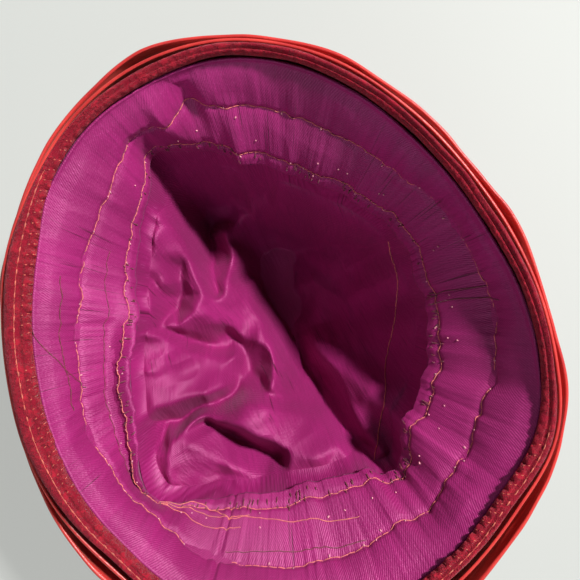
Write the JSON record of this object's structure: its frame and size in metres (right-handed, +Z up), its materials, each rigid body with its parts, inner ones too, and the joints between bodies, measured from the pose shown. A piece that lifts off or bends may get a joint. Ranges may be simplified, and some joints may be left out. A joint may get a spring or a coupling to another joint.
{
  "type": "soft velvet hat",
  "caption": "Soft lined hat lying on its crown with the head opening up, a rolled edge, a draped folded band and a crumpled satin lining.",
  "frame": {"origin": "centre of the flat crown's outer face, which the hat lies on", "axes": "+Z up out of the head opening, +Y along the long axis of the oval, +X across it"},
  "size_m": [0.183, 0.2186, 0.12],
  "materials": {
    "velvet": "crushed velvet",
    "band_satin": "smooth satin",
    "lining_satin": "twill-faced satin"
  },
  "bodies": {
    "root": {"velvet_tip": "velvet", "velvet_side": "velvet", "velvet_edge": "velvet", "satin_fold_inner": "band_satin", "satin_fold_outer": "band_satin", "lining_band": "lining_satin", "lining_tip": "lining_satin"}
  },
  "joints": []
}
